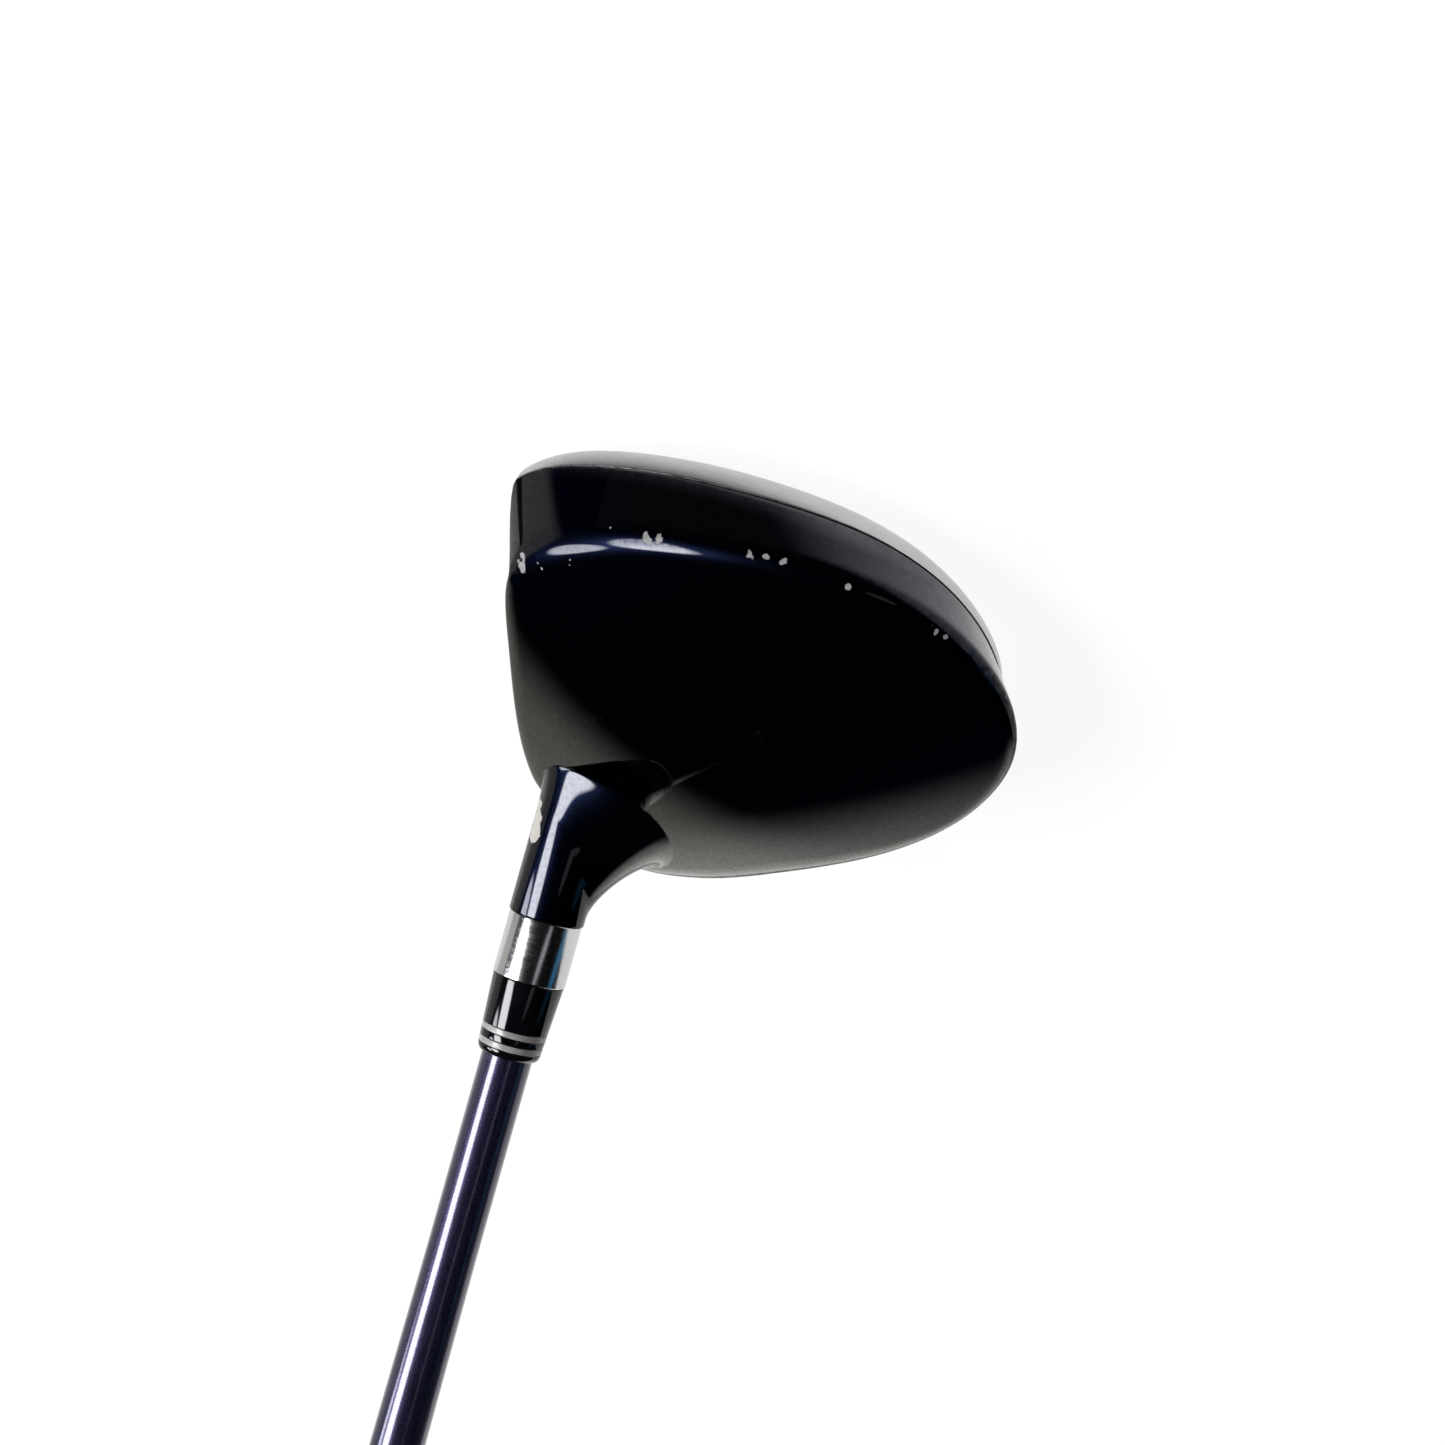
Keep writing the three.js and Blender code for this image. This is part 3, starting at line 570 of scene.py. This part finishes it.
def steel(name, tone, rough, streak_along, streak, grain):
    """Bare steel with streaks left by polishing or wear."""
    look = Look(name, Metallic=1.0)
    streaks = look.noise(grain, detail=4, at=look.stretched(streak_along, 40))
    cloud = look.noise(9, detail=5, rough=0.6)
    darker = (tone * 0.9, tone * 0.9, tone * 0.92)
    shade = look.blend(look.ramp(cloud, 0.3, 0.75), darker, (tone,) * 3)
    dull = look.ramp(streaks, 0.3, 0.7, rough - streak, rough + streak)
    look.set(
        Base_Color=look.blend(look.ramp(streaks, 0.55, 0.8, 0, 0.35), shade, (tone * 0.7,) * 3),
        Roughness=dull,
        Normal=look.bump(streaks, 0.004),
    )
    return look.material


def plain_gloss(name, colour, other, rough, size):
    """Moulded or lacquered plastic with slight clouding and fine wear."""
    look = Look(name, IOR=1.5)
    cloud = look.noise(size, detail=4, rough=0.6)
    look.set(
        Base_Color=look.blend(look.ramp(cloud, 0.3, 0.7), colour, other),
        Roughness=look.ramp(look.noise(size * 0.4, detail=5), 0.3, 0.8, rough * 0.7, rough * 1.5),
        Normal=look.bump(look.noise(0.8), 0.002),
    )
    return look.material


def graphite():
    """Dark blue-black lacquer over a faint weave, with fine violet flake."""
    look = Look("shaft_graphite", IOR=1.5, Coat_Weight=1.0, Coat_Roughness=0.06)
    flake = look.ramp(look.noise(0.12, detail=0), 0.55, 0.75)
    weave = look.noise(0.5, detail=3, at=look.stretched(tuple(ALONG), 8))
    base = look.blend(look.ramp(weave, 0.3, 0.7), (0.008, 0.007, 0.022), (0.02, 0.017, 0.05))
    look.set(
        Base_Color=look.blend(look.math("MULTIPLY", flake, 0.6), base, (0.12, 0.1, 0.3)),
        Roughness=look.ramp(flake, 0, 1, 0.35, 0.2),
        Metallic=0.6,
        Normal=look.bump(weave, 0.002),
    )
    return look.material


def rubber():
    """Matt black rubber with a pebbled grain, worn paler in places."""
    look = Look("grip_rubber", IOR=1.5)
    grain = look.noise(0.35, detail=4)
    wear = look.ramp(look.noise(25, detail=4), 0.4, 0.75)
    look.set(
        Base_Color=look.blend(wear, (0.012, 0.012, 0.013), (0.03, 0.029, 0.028)),
        Roughness=look.ramp(grain, 0.3, 0.7, 0.62, 0.85),
        Normal=look.bump(grain, 0.03),
    )
    return look.material


def rough_stuff(name, colour, other, size, rough, depth, **sockets):
    """Foam, glue, cloth and cast metal that sit inside the club."""
    look = Look(name, **sockets)
    lumps = look.noise(size, detail=5, rough=0.65)
    look.set(
        Base_Color=look.blend(look.ramp(lumps, 0.3, 0.7), colour, other),
        Roughness=look.ramp(lumps, 0.2, 0.8, rough - 0.1, rough + 0.08),
        Normal=look.bump(lumps, depth),
    )
    return look.material


MATERIALS = {
    "crown_paint": crown_paint(),
    "satin_steel": steel("satin_steel", 0.62, 0.33, (0, 1, 0), 0.08, 0.25),
    "face_steel": steel("face_steel", 0.5, 0.42, (1, 0, 0), 0.08, 0.2),
    "polished_steel": steel("polished_steel", 0.72, 0.17, (0, 1, 0), 0.04, 0.3),
    "ferrule_black": plain_gloss("ferrule_black", (0.002, 0.002, 0.003), (0.004, 0.004, 0.006), 0.06, 4),
    "ferrule_silver": plain_gloss("ferrule_silver", (0.28, 0.27, 0.28), (0.4, 0.38, 0.35), 0.26, 3),
    "shaft_graphite": graphite(),
    "grip_rubber": rubber(),
    "cloth_tape": rough_stuff("cloth_tape", (0.62, 0.57, 0.45), (0.5, 0.45, 0.34), 0.7, 0.85, 0.05),
    "epoxy": rough_stuff("epoxy", (0.55, 0.45, 0.22), (0.62, 0.53, 0.3), 3, 0.35, 0.02),
    "foam": rough_stuff("foam", (0.7, 0.6, 0.3), (0.55, 0.45, 0.2), 2.5, 0.85, 0.4),
    "weight_metal": rough_stuff(
        "weight_metal", (0.42, 0.33, 0.14), (0.3, 0.24, 0.12), 1.5, 0.45, 0.03, Metallic=1.0),
}


# ---- head pieces -----------------------------------------------------------------------------
def painted_crown():
    """The crown and the hosel's neck under one skin of paint, bored for the shaft."""
    rings = [ROUND.dome_ring(f) for f in np.linspace(CENTRE, 1, 44)[:-1]]
    rings += [ROUND.shoulder(t) for t in np.linspace(0, 1, 16)]
    rings += [ROUND.skirt(t, up=SEAM_GAP * t) for t in np.linspace(0, 1, 14)[1:]]
    rolled_edge = [ROUND.skirt(1, 0.05, 0.03), ROUND.skirt(1, 0.15, 0)]
    rings += rolled_edge
    inside = inner(rings, CROWN_WALL)[:-len(rolled_edge) - 1] + [ROUND.skirt(1, CROWN_WALL)]
    shell = loft("painted_crown", inside + rings[::-1], "caps", MATERIALS["crown_paint"])
    turn = turns(TURNED_STEPS)
    drill = [axis_points(BORE_R, s, turn) for s in BORE_CUT_S]
    combine(shell, loft("drill", drill, "caps", MATERIALS["weight_metal"]), "DIFFERENCE")
    return combine(shell, hosel_neck(), "UNION")


def meet_crown(radius, turn, sink=0.0):
    """Where lines along the shaft axis, at this radius and these turns, meet the dome, by halving."""
    low = np.full(len(turn), -NECK_SEARCH)
    high = np.full(len(turn), NECK_SEARCH)
    for _ in range(NECK_SEARCH_STEPS):
        middle = (low + high) / 2
        p = axis_points(radius, middle, turn)
        above = p[:, 2] > dome(p[:, 0], p[:, 1]) - sink
        high = np.where(above, middle, high)
        low = np.where(above, low, middle)
    return axis_points(radius, high, turn)


def towards(turn, there):
    """1 where turn faces there, down to 0 on the far side."""
    return (1 + np.cos(turn - there)) / 2


def hosel_neck():
    """The neck, with a foot that flares out on to the crown, most of all at the back."""
    turn = turns(TURNED_STEPS)
    reach = mix(*FLARE_REACH, towards(turn, FLARE_TURN) ** FLARE_FOCUS)
    climb = mix(*CLIMB, towards(turn, CLIMB_TURN))
    corner = meet_crown(NECK_R, turn)
    landing = meet_crown(NECK_R + reach, turn, LANDING_SINK)
    follow = mix(landing, corner, FLARE_EASE[0])
    rise = corner + np.outer(climb * FLARE_EASE[1], ALONG)
    end = corner + np.outer(climb, ALONG)
    rings = []
    for t in np.linspace(0, 1, 40):
        k = 1 - t
        rings.append(landing * k**3 + follow * 3 * t * k**2 + rise * 3 * t**2 * k + end * t**3)
    top = COLLAR_S[0] - TRIM_GAP
    corner_in = 0.28 * EASE_R
    rings.append(axis_points(NECK_R, top - EASE_R, turn))
    rings.append(axis_points(NECK_R - corner_in, top - corner_in, turn))
    rings.append(axis_points(NECK_R - EASE_R, top, turn))
    rings.append(axis_points(BORE_R, top, turn))
    rings.append(meet_crown(BORE_R, turn, ROOT_SINK))
    rings.append(meet_crown(NECK_R + reach, turn, ROOT_SINK))
    return loft("neck", rings, "loop", MATERIALS["crown_paint"])


def steel_body():
    """The steel band, leading edge and turn of the sole, open for the sole plate and the face plate."""
    rings = [ROUND.lower(0, 0.15), ROUND.lower(0.001, 0.05)]
    rings += [ROUND.lower(a) for a in np.linspace(0.006, 1, 70)]
    rings += [ROUND.sole(f) for f in np.linspace(1, SOLE_OPENING + 0.004, 10)[1:]]
    rings += [ROUND.sole(SOLE_OPENING) + UPWARD * 0.2]
    inside = inner(rings, BODY_WALL)[4:-4]
    inside = [ROUND.lower(0, BODY_WALL)] + inside + [ROUND.sole(SOLE_OPENING) + UPWARD * BODY_WALL]
    shell = loft("steel_body", rings + inside[::-1], "loop", MATERIALS["satin_steel"])
    return combine(shell, face_patch("opening", 1 + FACE_GAP, *FACE_CUT, 0), "DIFFERENCE")


def sole_plate():
    """The plate that closes the bottom of the body, with its rim eased."""
    reach = SOLE_OPENING - SOLE_GAP
    under = [ROUND.sole(f) for f in np.linspace(CENTRE, reach - 0.006, 40)]
    under += [ROUND.sole(reach - 0.002) + UPWARD * 0.06, ROUND.sole(reach) + UPWARD * EASE_R]
    over = [ROUND.sole(f) + UPWARD * SOLE_PLATE_T for f in (reach, FLAT_PATCH, CENTRE)]
    return loft("sole_plate_fine", under + over, "caps", MATERIALS["satin_steel"])


FACE_NORMAL = np.array((0, -math.cos(LOFT), math.sin(LOFT)))
FACE_TURNS = turns(FACE_STEPS)


def face_patch(name, grow, front, back, rounding):
    """A slab that follows the face; grow widens it, front and back are its depths."""
    middle = (FACE_V[0] + FACE_V[1]) / 2
    half = (FACE_V[1] - FACE_V[0]) / 2

    def squarish(x):
        return np.sign(x) * np.abs(x) ** FACE_SQUARENESS

    def ring(fraction, depth):
        u = FACE_MIDDLE_U + FACE_U * fraction * squarish(np.cos(FACE_TURNS))
        a = middle + half * fraction * squarish(np.sin(FACE_TURNS))
        return Section(u).lower(a) + FACE_NORMAL * depth

    hub = 1.5 * CENTRE
    outside = [ring(f * grow, front) for f in np.linspace(hub, 1 - rounding / 25, 24)]
    if rounding:
        outside += [ring(grow * (1 - rounding / 80), front - rounding * 0.3)]
        outside += [ring(grow, front - rounding)]
    inside = [ring(f * grow, -back) for f in np.linspace(1, hub, 12)]
    return loft(name, outside + inside, "caps", MATERIALS["face_steel"])


def score_line(z):
    """A cutter for one score line across the face at height z."""
    u = FACE_MIDDLE_U + np.linspace(-GROOVE_U, GROOVE_U, 40)
    across = Section(u)
    seam = across.seam - SEAM_GAP

    def row(height, depth):
        a = FACE_FOOT_AT * (seam - height) / (seam - FACE_FOOT_Z)
        return across.lower(a) + FACE_NORMAL * depth

    half = GROOVE_W / 2
    floor = half * 0.5
    sides = [row(z + half, 1), row(z - half, 1), row(z - half, 0), row(z - floor, -GROOVE_DEPTH)]
    sides += [row(z + floor, -GROOVE_DEPTH), row(z + half, 0)]
    return loft("score", list(np.transpose(np.array(sides), (1, 0, 2))), "caps", MATERIALS["face_steel"])


def face_plate():
    """The striking face with its rows of score lines."""
    plate = face_patch("face_plate_fine", 1, 0, FACE_T, 0.35)
    rows = GROOVE_MIDDLE_Z + (np.arange(GROOVE_ROWS) - (GROOVE_ROWS - 1) / 2) * GROOVE_STEP
    for z in rows:
        combine(plate, score_line(z), "DIFFERENCE", sharp=30)
    return plate


# ---- pieces on the shaft axis ------------------------------------------------------------------
def ferrule_radius(s):
    return FERRULE_FOOT_R - FERRULE_TAPER * (s - FERRULE_S[0])


def shaft_radius(s):
    if s <= TAPER_S[0]:
        return SHAFT_TIP_R
    if s <= TAPER_S[1]:
        return mix(SHAFT_TIP_R, TAPER_MID_R, (s - TAPER_S[0]) / (TAPER_S[1] - TAPER_S[0]))
    return mix(TAPER_MID_R, BUTT_R, (s - TAPER_S[1]) / (TAPER_S[2] - TAPER_S[1]))


def ferrule_stage(name, start, end, slot):
    """One tapered ring of the ferrule, from station start to station end."""
    outside = [(ferrule_radius(s), s, FERRULE_EASE) for s in (start, end)]
    bore = [(FERRULE_BORE_R, s, 0) for s in (end, start)]
    return turned(name, outside + bore, MATERIALS[slot])


def add_ferrule():
    """The black body, two silver rings with a black one between them, and the round black lip."""
    keep(ferrule_stage("ferrule_body_fine", *FERRULE_S, "ferrule_black"), "ferrule_black", "ferrule_body")
    s = FERRULE_S[1]
    stages = [
        ("ferrule_ring_lower", "ferrule_silver", RING_T),
        ("ferrule_spacer", "ferrule_black", SPACER_T),
        ("ferrule_ring_upper", "ferrule_silver", RING_T),
    ]
    for node, slot, thickness in stages:
        piece = ferrule_stage(node + "_fine", s + TRIM_GAP, s + TRIM_GAP + thickness, slot)
        keep(piece, slot, node)
        s += TRIM_GAP + thickness
    keep(ferrule_lip(s + TRIM_GAP), "ferrule_black", "ferrule_lip")


def ferrule_lip(foot):
    """The ferrule's end: a quarter of an ellipse from the last ring in to a narrow land."""
    outside = [(ferrule_radius(foot), foot, 0.1)]
    for turn in np.linspace(0.2, math.pi / 2, LIP_STEPS):
        radius = mix(FERRULE_BORE_R + LIP_LAND, ferrule_radius(foot), math.cos(turn))
        outside.append((radius, foot + LIP_T * math.sin(turn), 0))
    bore = [(FERRULE_BORE_R, foot + LIP_T, 0), (FERRULE_BORE_R, foot, 0)]
    return turned("ferrule_lip_fine", outside + bore, MATERIALS["ferrule_black"])


def collar():
    """The polished sleeve between the painted neck and the ferrule."""
    outside = [(COLLAR_R, s, EASE_R) for s in COLLAR_S]
    bore = [(BORE_R, s, 0) for s in COLLAR_S[::-1]]
    return turned("hosel_collar_fine", outside + bore, MATERIALS["polished_steel"])


def shaft():
    """The shaft from its tip in the hosel to its butt in the grip, with a tapered bore."""
    outside = [(shaft_radius(s), s, 0) for s in (SHAFT_TIP_S, *TAPER_S)]
    tip, butt = SHAFT_BORE_R
    bore = [(butt, TAPER_S[2], 0), (tip, TAPER_S[0], 0), (tip, SHAFT_TIP_S, 0)]
    return turned("shaft_fine", outside + bore, MATERIALS["shaft_graphite"])


def grip_cone(s):
    """Radius of the plain grip at station s, before its bead and grooves."""
    share = (s - GRIP_S[0]) / (GRIP_S[1] - GRIP_S[0])
    return mix(GRIP_MOUTH_R, GRIP_BUTT_R, share**GRIP_TAPER_POWER)


def grip_skin(s, turn):
    """Radius of the grip: a bead at the mouth, rings, and crossed shallow grooves between them."""
    from_mouth = s - GRIP_S[0]
    from_butt = GRIP_S[1] - s
    radius = grip_cone(s) + GRIP_BEAD * (1 - smooth(*GRIP_BEAD_END, from_mouth))
    away = [from_mouth - at for at in GRIP_RINGS_FROM_MOUTH]
    away += [from_butt - at for at in GRIP_RINGS_FROM_BUTT]
    for gap in away:
        radius = radius - GRIP_RING_DEPTH * (1 - smooth(*GRIP_RING_HALF_W, abs(gap)))
    band = smooth(*GRIP_PATTERN_END, from_mouth) * smooth(*GRIP_PATTERN_END, from_butt)
    for hand in (-1, 1):
        phase = turn * GRIP_GROOVES_ROUND / (2 * math.pi) + hand * s / GRIP_GROOVE_PITCH
        off = np.abs(phase - np.round(phase))
        radius = radius - GRIP_GROOVE_DEPTH * band * (1 - smooth(*GRIP_GROOVE_HALF_W, off))
    return radius


def grip_sleeve():
    """The rubber sleeve, open at both ends, on the tape wound round the shaft."""
    turn = turns(GRIP_STEPS[0])
    stations = np.linspace(GRIP_S[0] + 0.4, GRIP_S[1] - 0.2, GRIP_STEPS[1])
    rings = [axis_points(grip_skin(s, turn), s, turn) for s in stations]
    first = axis_points(grip_cone(GRIP_S[0]) + 0.1, GRIP_S[0], turn)
    last = axis_points(grip_cone(GRIP_S[1]) - 0.2, GRIP_S[1], turn)
    wrap = 2 * TRIM_GAP + TAPE_WRAP
    bore = [axis_points(shaft_radius(s) + wrap, s, turn) for s in GRIP_S[::-1]]
    rings = [first] + rings + [last] + bore
    return loft("grip_sleeve_fine", rings, "loop", MATERIALS["grip_rubber"], 60)


def grip_cap():
    """The grip's closed end, with a shallow ring round its vent hole."""
    foot = GRIP_S[1] + TRIM_GAP
    top = foot + CAP_T
    dip = top - CAP_GROOVE_DEPTH
    across, down = CAP_CROWN
    outside = [(CAP_R - CAP_FOOT, foot, 0.3), (CAP_R, foot + CAP_FOOT, 0.5)]
    crown = [(CAP_R, top - down, 1), (CAP_R - across, top, 1.5)]
    a, b, c, d = CAP_GROOVE_R
    groove = [(d, top, 0.1), (c, dip, 0.1), (b, dip, 0.1), (a, top, 0.1)]
    vent = [(VENT_R + VENT_ROUND, top, 0.2), (VENT_R, top - VENT_ROUND, 0.2), (VENT_R, foot, 0)]
    corners = outside + crown + groove + vent
    return turned("grip_cap_fine", corners, MATERIALS["grip_rubber"], 50)


keep(painted_crown(), "crown_paint", "crown_shell", "hosel_neck")
keep(steel_body(), "satin_steel", "body_shell")
keep(sole_plate(), "satin_steel", "sole_plate")
keep(face_plate(), "face_steel", "face_plate")
keep(collar(), "polished_steel", "hosel_collar")
add_ferrule()
keep(shaft(), "shaft_graphite", "shaft")
keep(grip_sleeve(), "grip_rubber", "grip_sleeve")
keep(grip_cap(), "grip_rubber", "grip_cap")

# ---- inner CAD nodes keep their shape and get a better material --------------------------------
for node, slot in (
    ("rear_weight", "weight_metal"), ("foam_core", "foam"), ("bore_plug", "weight_metal"),
    ("epoxy_sleeve", "epoxy"), ("tip_weight", "weight_metal"), ("grip_tape", "cloth_tape"),
    ("hosel_tube", "satin_steel"),
):
    inner_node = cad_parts[node]
    for place in inner_node.material_slots:
        place.material = MATERIALS[slot]


# ---- floor, light and camera -------------------------------------------------------------------
class Room(Wiring):
    """The studio round the club: soft glows in a dark room, and plain white to the camera."""

    def __init__(self):
        world = bpy.data.worlds.new("room")
        bpy.context.scene.world = world
        super().__init__(world, "Generated")
        self.total = None

    def glow(self, around, up_by, width, height, colour):
        """A soft oval of light. Angles in degrees, colour as linear radiance at its middle."""
        a, e = math.radians(around), math.radians(up_by)
        middle = (math.cos(a) * math.cos(e), math.sin(a) * math.cos(e), math.sin(e))
        sideways = (-math.sin(a), math.cos(a), 0)
        upward = (-math.cos(a) * math.sin(e), -math.sin(a) * math.sin(e), math.cos(e))
        across = self.along(tuple(c / math.sin(math.radians(width)) for c in sideways))
        over = self.along(tuple(c / math.sin(math.radians(height)) for c in upward))
        off = self.math("ADD", self.times(across, across), self.times(over, over))
        near_side = self.ramp(self.along(middle), 0, 0.2)
        strength = self.times(self.ramp(off, 1.0, 0.45), near_side)
        light = self.blend(strength, (0, 0, 0), colour)
        if self.total is not None:
            inputs = {0: self.total, 1: light}
            light = self.node("ShaderNodeVectorMath", inputs, operation="ADD").outputs[0]
        self.total = light

    def finish(self, paper):
        """Lights the scene with the glows, behind a plain backdrop of the paper's tone."""
        sky = self.nodes["Background"]
        self.fill(sky.inputs[0], self.total)
        plain = self.node("ShaderNodeBackground", {"Color": (paper,) * 3})
        seen = self.unless_camera(plain.outputs[0], sky.outputs[0])
        self.fill(self.nodes["World Output"].inputs[0], seen)


# Glows: azimuth, elevation, half width, half height, colour.
GLOWS = [
    (-130, 43, 14, 21, (17.0, 17.0, 17.5)),
    (-97, 38, 10, 12, (10.0, 10.2, 11.0)),
    (15, 10, 40, 36, (1.35, 1.33, 1.28)),
    (-15, 10, 60, 33, (0.75, 0.73, 0.66)),
    (-85, 6, 24, 18, (0.5, 0.49, 0.47)),
    (135, 35, 6, 14, (0.4, 0.4, 0.42)),
    (84, 6, 9, 14, (0.03, 0.14, 0.26)),
]
OVERHEAD = (0, 90, 89, 89, (0.008, 0.008, 0.01))
BACKDROP = 0.93


def add_room():
    """Lights the scene with all the glows and nothing else."""
    room = Room()
    for glow in [OVERHEAD] + GLOWS:
        room.glow(*glow)
    room.finish(BACKDROP)


FLOOR_HALF = 6.0
FLOOR_Z = -0.0002
FLOOR_GLOW = 0.9
TOEWARD = (-0.97, -0.24, 0)
MIRRORED_FADE = (38 * MM, 62 * MM)
MIRRORED_GLOW = (0.85, 0.04)


def add_floor():
    """Pale paper. Its mirror image in the club is dark beyond the toe, where the room is dark."""
    half = FLOOR_HALF
    corners = [(-half, -half, 0), (half, -half, 0), (half, half, 0), (-half, half, 0)]
    mesh = bpy.data.meshes.new("floor")
    mesh.from_pydata(corners, [], [(0, 1, 2, 3)])
    white = (1.0, 1.0, 1.0)
    look = Look("floor_paper", Roughness=0.9, Emission_Color=white, Emission_Strength=FLOOR_GLOW)
    tone = look.ramp(look.noise(60, detail=3), 0.3, 0.7)
    look.set(Base_Color=look.blend(tone, (0.09, 0.09, 0.09), (0.1, 0.1, 0.1)))
    glow = look.ramp(look.along(TOEWARD), *MIRRORED_FADE, *MIRRORED_GLOW)
    mirrored = look.node("ShaderNodeEmission", {"Strength": glow})
    seen = look.unless_camera(look.shader.outputs[0], mirrored.outputs[0])
    look.fill(look.nodes["Material Output"].inputs[0], seen)
    mesh.materials.append(look.material)
    floor = bpy.data.objects.new("floor", mesh)
    floor.location.z = FLOOR_Z
    bpy.context.scene.collection.objects.link(floor)


# The camera: which way it looks, its lens in millimetres and its place in metres.
CAMERA_AROUND = 14.0
CAMERA_UP_BY = 29.55
CAMERA_ROLL = 203.48
CAMERA_LENS = 59.8
CAMERA_SENSOR = 36
CAMERA_AT = (-0.3312, 0.0810, 0.2207)


def add_camera():
    """The camera looks from beyond the toe and a little behind, rolled as one would hold the club up."""
    around, up_by, roll = (math.radians(a) for a in (CAMERA_AROUND, CAMERA_UP_BY, CAMERA_ROLL))
    flat = math.cos(up_by)
    back = Vector((-math.cos(around) * flat, math.sin(around) * flat, math.sin(up_by)))
    level = (-back).cross(Vector((0, 0, 1))).normalized()
    upright = level.cross(-back)
    right = level * math.cos(roll) + upright * math.sin(roll)
    up = upright * math.cos(roll) - level * math.sin(roll)
    camera = bpy.data.objects.new("camera", bpy.data.cameras.new("camera"))
    camera.data.sensor_width = CAMERA_SENSOR
    camera.data.lens = CAMERA_LENS
    camera.data.clip_start = 0.01
    turn = Matrix((right, up, back)).transposed().to_4x4()
    camera.matrix_world = Matrix.Translation(CAMERA_AT) @ turn
    bpy.context.scene.collection.objects.link(camera)
    bpy.context.scene.camera = camera


add_floor()
add_room()
add_camera()
bpy.context.scene.view_settings.view_transform = "Standard"
